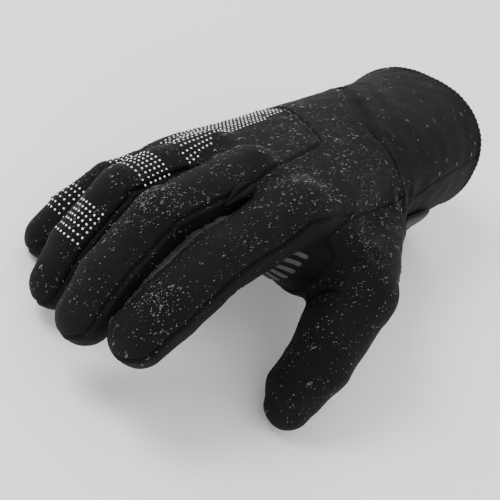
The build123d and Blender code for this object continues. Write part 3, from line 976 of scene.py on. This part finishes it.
def wetness(places, normals, names):
    """How likely water stands at each place: more over the back, none below."""
    base = np.array([0.25 if "cuff" in name else 0.7 if "sides" in name else 1.0 for name in names])
    x, y, z = places.T
    clumps = 0.75 + 0.6 * np.sin(x * 0.19 + 2) * np.sin(y * 0.23 + z * 0.15)
    clumps += 0.5 * np.sin(x * 0.53) * np.sin(y * 0.61 + 1)
    for centre, reach, more in WET_PLACES:
        clumps += more * np.exp(-(norm(places - centre, axis=1) / reach) ** 2)
    facing = np.clip(normals @ unit([-0.45, -0.35, 0.8]) * 1.1 + 0.25, 0, 1)
    return base * np.clip(clumps, 0.1, 8) * facing


def make_water(rows, groups, normals):
    """Water on the softshell: fine spray, coloured light grey as a painted highlight, and larger uneven drops
    that run together.
    """
    draw = np.random.RandomState(7)
    owner = {}
    for name, faces in groups.items():
        if not name.endswith(("_palm", "palm_panel")):
            for face in faces:
                for i in face:
                    owner.setdefault(i, name)
    numbers = np.array(sorted(owner))
    wet = wetness(rows[numbers, :3], normals[numbers], [owner[i] for i in numbers])
    wet = wet * (VOXEL / FINE_VOXEL) ** 2
    for name, share, middle, spread, tallest, clump in (("water_spray", 0.085, -1.75, 0.35, 0.34, 1),
                                                        ("water_drops", 0.013, -1.05, 0.38, 0.85, 3)):
        chosen = numbers[draw.rand(len(numbers)) < share * wet]
        chosen = np.repeat(chosen, draw.randint(1, clump + 1, len(chosen)))
        spots, outs = rows[chosen, :3], normals[chosen]
        wander = 0.3 if clump == 1 else 0.65
        spots = spots + np.cross(outs, draw.normal(size=outs.shape)) * wander
        sizes = np.clip(np.exp(draw.normal(middle, spread, len(spots))), 0.12, tallest)
        stretch = np.clip(np.exp(np.abs(draw.normal(0, 0.35, len(spots)))), 1, 2.6)
        shape = dome(1.0, 0.7, 6 if clump == 1 else 8)
        for piece in scatter(name, spots, outs, shape, "softshell", sizes, stretch).values():
            # The spray takes a light grey material, a painted highlight for the glints of fine drops; the
            # larger drops are dark and glossy.
            piece.data.materials[0] = MATERIALS["spray" if clump == 1 else "water"]


def make_web_fold():
    """The leaf-shaped fold of fabric over the gap between index and middle finger: two soft ridges
    with a crease between them, on a body that reaches down into the gap."""
    start, end = np.array(FOLD_START), np.array(FOLD_END)
    forward = unit(end - start)
    across = unit(np.cross(FOLD_UP, forward))
    up = np.cross(forward, across)
    rings, places = 26, []
    for i in range(rings + 1):
        t = i / rings
        spread = max(math.sin(math.pi * min(t * 1.25, 0.5 + t * 0.5)) ** 0.6, 0.12)
        middle = start + (end - start) * t + up * (1.0 * math.sin(math.pi * t) - 0.6 * t)
        half = 3.2 * spread
        ring = []
        for k in range(17):
            u = -1 + k / 8
            ridge = 1.3 * (1 - abs(abs(u) - 0.52) ** 1.6 / 0.34) * spread
            crease = -0.9 * math.exp(-(u / 0.17) ** 2) * spread
            ring.append(middle + across * (u * half) + up * (ridge + crease))
        for k in range(7):
            u = 0.8 - k * 0.8 / 3
            ring.append(middle + across * (u * half * 0.7) - up * (2.2 + 2.6 * (1 - u * u)) * spread)
        places += ring
    fold = joined("index_middle_web_fold", np.array(places), ring_faces(rings + 1, 24, False), "softshell")
    middle = FINGERS[1]
    start, end = middle.base + middle.first * NEAR_START, middle.base + middle.first * 10
    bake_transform(fold)


# ---- materials
def node(tree, kind, **values):
    made = tree.nodes.new(kind)
    for name, value in values.items():
        if name in made.inputs:
            made.inputs[name].default_value = value
        else:
            setattr(made, name, value)
    return made


def new_material(name):
    material = bpy.data.materials.new(name)
    material.use_nodes = True
    return material, material.node_tree, material.node_tree.nodes["Principled BSDF"]


def set_inputs(made, values):
    for name, value in values.items():
        made.inputs[name].default_value = value


def fabric(name, color, roughness, sheen, weave, pitch, depth, speckle=0.25, fuzz=0.0):
    """Woven or knitted cloth: a fine diagonal weave in bump and tone, with slow wear in the tone.
    weave is twill, knit or pile; pitch in millimetres."""
    material, tree, shader = new_material(name)
    link = tree.links.new
    set_inputs(shader, {"Roughness": roughness, "Sheen Weight": sheen, "Sheen Roughness": 0.5,
                        "Specular IOR Level": 0.07})
    place = node(tree, "ShaderNodeTexCoord")
    scale = node(tree, "ShaderNodeMapping", Scale=(1000, 1000, 1000))
    link(place.outputs["Object"], scale.inputs["Vector"])
    bands = []
    turns = {"twill": ((0, 0, 0.8), (0.5, 0.9, -0.7)), "knit": ((0, 0, 0), (0, 1.57, 0.4)),
             "pile": ((0.2, 0.4, 0.1), (1.2, 0.3, 0.9))}[weave]
    for turn in turns:
        spin = node(tree, "ShaderNodeMapping", Rotation=turn)
        link(scale.outputs["Vector"], spin.inputs["Vector"])
        wave = node(tree, "ShaderNodeTexWave", wave_type="BANDS", bands_direction="DIAGONAL")
        set_inputs(wave, {"Scale": 0.55 / pitch, "Distortion": 1.2, "Detail": 2.0, "Detail Scale": 1.5})
        link(spin.outputs["Vector"], wave.inputs["Vector"])
        bands.append(wave)
    weft = node(tree, "ShaderNodeMath", operation="MULTIPLY")
    link(bands[0].outputs["Fac"], weft.inputs[0])
    link(bands[1].outputs["Fac"], weft.inputs[1])
    grain = node(tree, "ShaderNodeTexNoise", Scale=1.3 / pitch, Detail=3.0, Roughness=0.6)
    link(scale.outputs["Vector"], grain.inputs["Vector"])
    wear = node(tree, "ShaderNodeTexNoise", Scale=0.045, Detail=5.0, Roughness=0.62)
    link(scale.outputs["Vector"], wear.inputs["Vector"])
    height = node(tree, "ShaderNodeMix", data_type="FLOAT")
    height.inputs["Factor"].default_value = 0.35 + fuzz * 0.5
    link(weft.outputs[0], height.inputs["A"])
    link(grain.outputs["Fac"], height.inputs["B"])
    bump = node(tree, "ShaderNodeBump", Strength=0.75, Distance=depth * MM)
    link(height.outputs["Result"], bump.inputs["Height"])
    link(bump.outputs["Normal"], shader.inputs["Normal"])
    tone = node(tree, "ShaderNodeMath", operation="MULTIPLY_ADD")
    tone.inputs[1].default_value = speckle
    link(height.outputs["Result"], tone.inputs[0])
    slow = node(tree, "ShaderNodeMapRange")
    set_inputs(slow, {"From Min": 0.3, "From Max": 0.7, "To Min": 0.0, "To Max": 1.0 - speckle})
    link(wear.outputs["Fac"], slow.inputs["Value"])
    link(slow.outputs["Result"], tone.inputs[2])
    ramp = node(tree, "ShaderNodeMix", data_type="RGBA")
    ramp.inputs["A"].default_value = (*[c * 0.4 for c in color], 1)
    ramp.inputs["B"].default_value = (*[c * 2.1 for c in color], 1)
    link(tone.outputs[0], ramp.inputs["Factor"])
    link(ramp.outputs["Result"], shader.inputs["Base Color"])
    return material


def plastic(name, color, roughness, specular=0.5, coat=0.0, grain=0.02):
    """Moulded or printed rubber and plastic with a fine grain."""
    material, tree, shader = new_material(name)
    link = tree.links.new
    set_inputs(shader, {"Specular IOR Level": specular, "Coat Weight": coat})
    place = node(tree, "ShaderNodeTexCoord")
    noise = node(tree, "ShaderNodeTexNoise", Scale=900.0, Detail=4.0, Roughness=0.6)
    link(place.outputs["Object"], noise.inputs["Vector"])
    tone = node(tree, "ShaderNodeMix", data_type="RGBA")
    tone.inputs["A"].default_value = (*[c * 0.82 for c in color], 1)
    tone.inputs["B"].default_value = (*[min(1, c * 1.15) for c in color], 1)
    link(noise.outputs["Fac"], tone.inputs["Factor"])
    link(tone.outputs["Result"], shader.inputs["Base Color"])
    rough = node(tree, "ShaderNodeMapRange")
    rough.inputs["To Min"].default_value = max(0.02, roughness - 0.1)
    rough.inputs["To Max"].default_value = min(1, roughness + 0.1)
    link(noise.outputs["Fac"], rough.inputs["Value"])
    link(rough.outputs["Result"], shader.inputs["Roughness"])
    bump = node(tree, "ShaderNodeBump", Strength=0.5, Distance=grain * MM)
    link(noise.outputs["Fac"], bump.inputs["Height"])
    link(bump.outputs["Normal"], shader.inputs["Normal"])
    return material


MATERIALS = {
    "softshell": fabric("twill_softshell", (0.0052, 0.0053, 0.0056), 0.72, 0.006, "twill", 0.8, 0.55, 0.7),
    "palm_fabric": fabric("smooth_palm_fabric", (0.0032, 0.0032, 0.0034), 0.65, 0.004, "knit", 0.6, 0.2,
                          0.35),
    "neoprene": fabric("smooth_cuff_knit", (0.0035, 0.0035, 0.0037), 0.75, 0.004, "knit", 0.5, 0.12, 0.2),
    "lining": fabric("brushed_fleece", (0.018, 0.0185, 0.02), 0.95, 0.2, "pile", 1.6, 0.8, 0.5, 0.8),
    "binding": fabric("ribbed_binding", (0.009, 0.009, 0.0096), 0.7, 0.02, "knit", 0.8, 0.3, 0.4),
    "webbing": fabric("nylon_webbing", (0.006, 0.006, 0.0063), 0.5, 0.02, "twill", 1.2, 0.4, 0.4),
    "loop_tape": fabric("loop_tape", (0.01, 0.01, 0.0105), 0.95, 0.2, "pile", 0.9, 0.7, 0.5, 0.9),
    "hook_tape": plastic("hook_tape", (0.01, 0.01, 0.0105), 0.45, 0.3, 0.0, 0.3),
    "rubber_pull": plastic("moulded_rubber", (0.008, 0.008, 0.0085), 0.5, 0.3),
    "reflective_print": plastic("reflective_print", (0.8, 0.81, 0.82), 0.35, 0.7),
    "silicone_print": plastic("silicone_print", (0.045, 0.046, 0.048), 0.45, 0.3),
    "thread": fabric("sewing_thread", (0.012, 0.012, 0.013), 0.6, 0.05, "twill", 0.3, 0.1, 0.4),
    "water": plastic("water_drop", (0.003, 0.0031, 0.0033), 0.12, 0.6, 0.15, 0.002),
    # The spray's light grey base colour is a painted highlight: it stands in for the glints that fine drops
    # of clear water catch.
    "spray": plastic("water_spray", (0.06, 0.061, 0.063), 0.25, 0.6, 0.2, 0.002),
}


# ---- camera, light and floor
CAMERA_AZ, CAMERA_EL, CAMERA_ROLL = math.radians(-59.95), math.radians(20.61), math.radians(22.57)
CAMERA_DISTANCE = 618.6
CAMERA_FOV = math.radians(19.75)
CAMERA_AIM = np.array([-60.0, 0.0, -10.0])
CAMERA_SHIFT = (-6.1, -25.8)


def make_camera():
    """The camera stands where the photograph was taken from, given in the hand's own frame."""
    back = np.array([math.sin(CAMERA_AZ) * math.cos(CAMERA_EL), -math.cos(CAMERA_AZ) * math.cos(CAMERA_EL),
                     math.sin(CAMERA_EL)])
    right = unit(np.cross(-back, [0, 0, 1]))
    up = np.cross(right, -back)
    across = right * math.cos(CAMERA_ROLL) + up * math.sin(CAMERA_ROLL)
    upward = up * math.cos(CAMERA_ROLL) - right * math.sin(CAMERA_ROLL)
    place = CAMERA_AIM + CAMERA_SHIFT[0] * across + CAMERA_SHIFT[1] * upward + back * CAMERA_DISTANCE
    data = bpy.data.cameras.new("camera")
    data.sensor_fit = "HORIZONTAL"
    data.angle = CAMERA_FOV
    data.clip_start = 0.01
    data.clip_end = 20
    camera = linked("camera", data)
    columns = np.column_stack([TURN @ across, TURN @ upward, TURN @ back])
    matrix = Matrix([list(row) for row in columns]).to_4x4()
    matrix.translation = Vector(to_row(place))
    camera.matrix_world = matrix
    bpy.context.scene.camera = camera


def area_light(name, place, aim, size, power):
    data = bpy.data.lights.new(name, "AREA")
    data.shape = "DISK"
    data.size = size
    data.energy = power
    light = linked(name, data)
    light.location = place
    light.rotation_euler = (Vector(aim) - Vector(place)).to_track_quat("-Z", "Y").to_euler()


def make_stage():
    bpy.ops.mesh.primitive_plane_add(size=8, location=(0, 0, -0.0005))
    floor = bpy.context.object
    floor.name = "floor"
    paint, _, shader = new_material("floor_paint")
    set_inputs(shader, {"Base Color": (0.93, 0.93, 0.93, 1), "Roughness": 0.9})
    floor.data.materials.append(paint)
    world = bpy.data.worlds.new("studio")
    bpy.context.scene.world = world
    world.use_nodes = True
    set_inputs(world.node_tree.nodes["Background"], {"Color": (1, 1, 1, 1), "Strength": 1.15})
    area_light("key", (-0.6, 0.5, 0.9), (0, 0, 0.03), 0.5, 11)
    area_light("fill", (-0.9, -0.7, 0.5), (0, 0, 0.03), 0.7, 4)
    area_light("rim", (0.7, 0.6, 0.6), (0, 0, 0.03), 0.5, 3)


make_camera()
make_stage()
skin_rows, skin_groups, skin_normals = make_panels()
make_linings()
make_hem()
make_strap()
make_dots()
make_bars()
make_web_fold()
make_water(skin_rows, skin_groups, skin_normals)
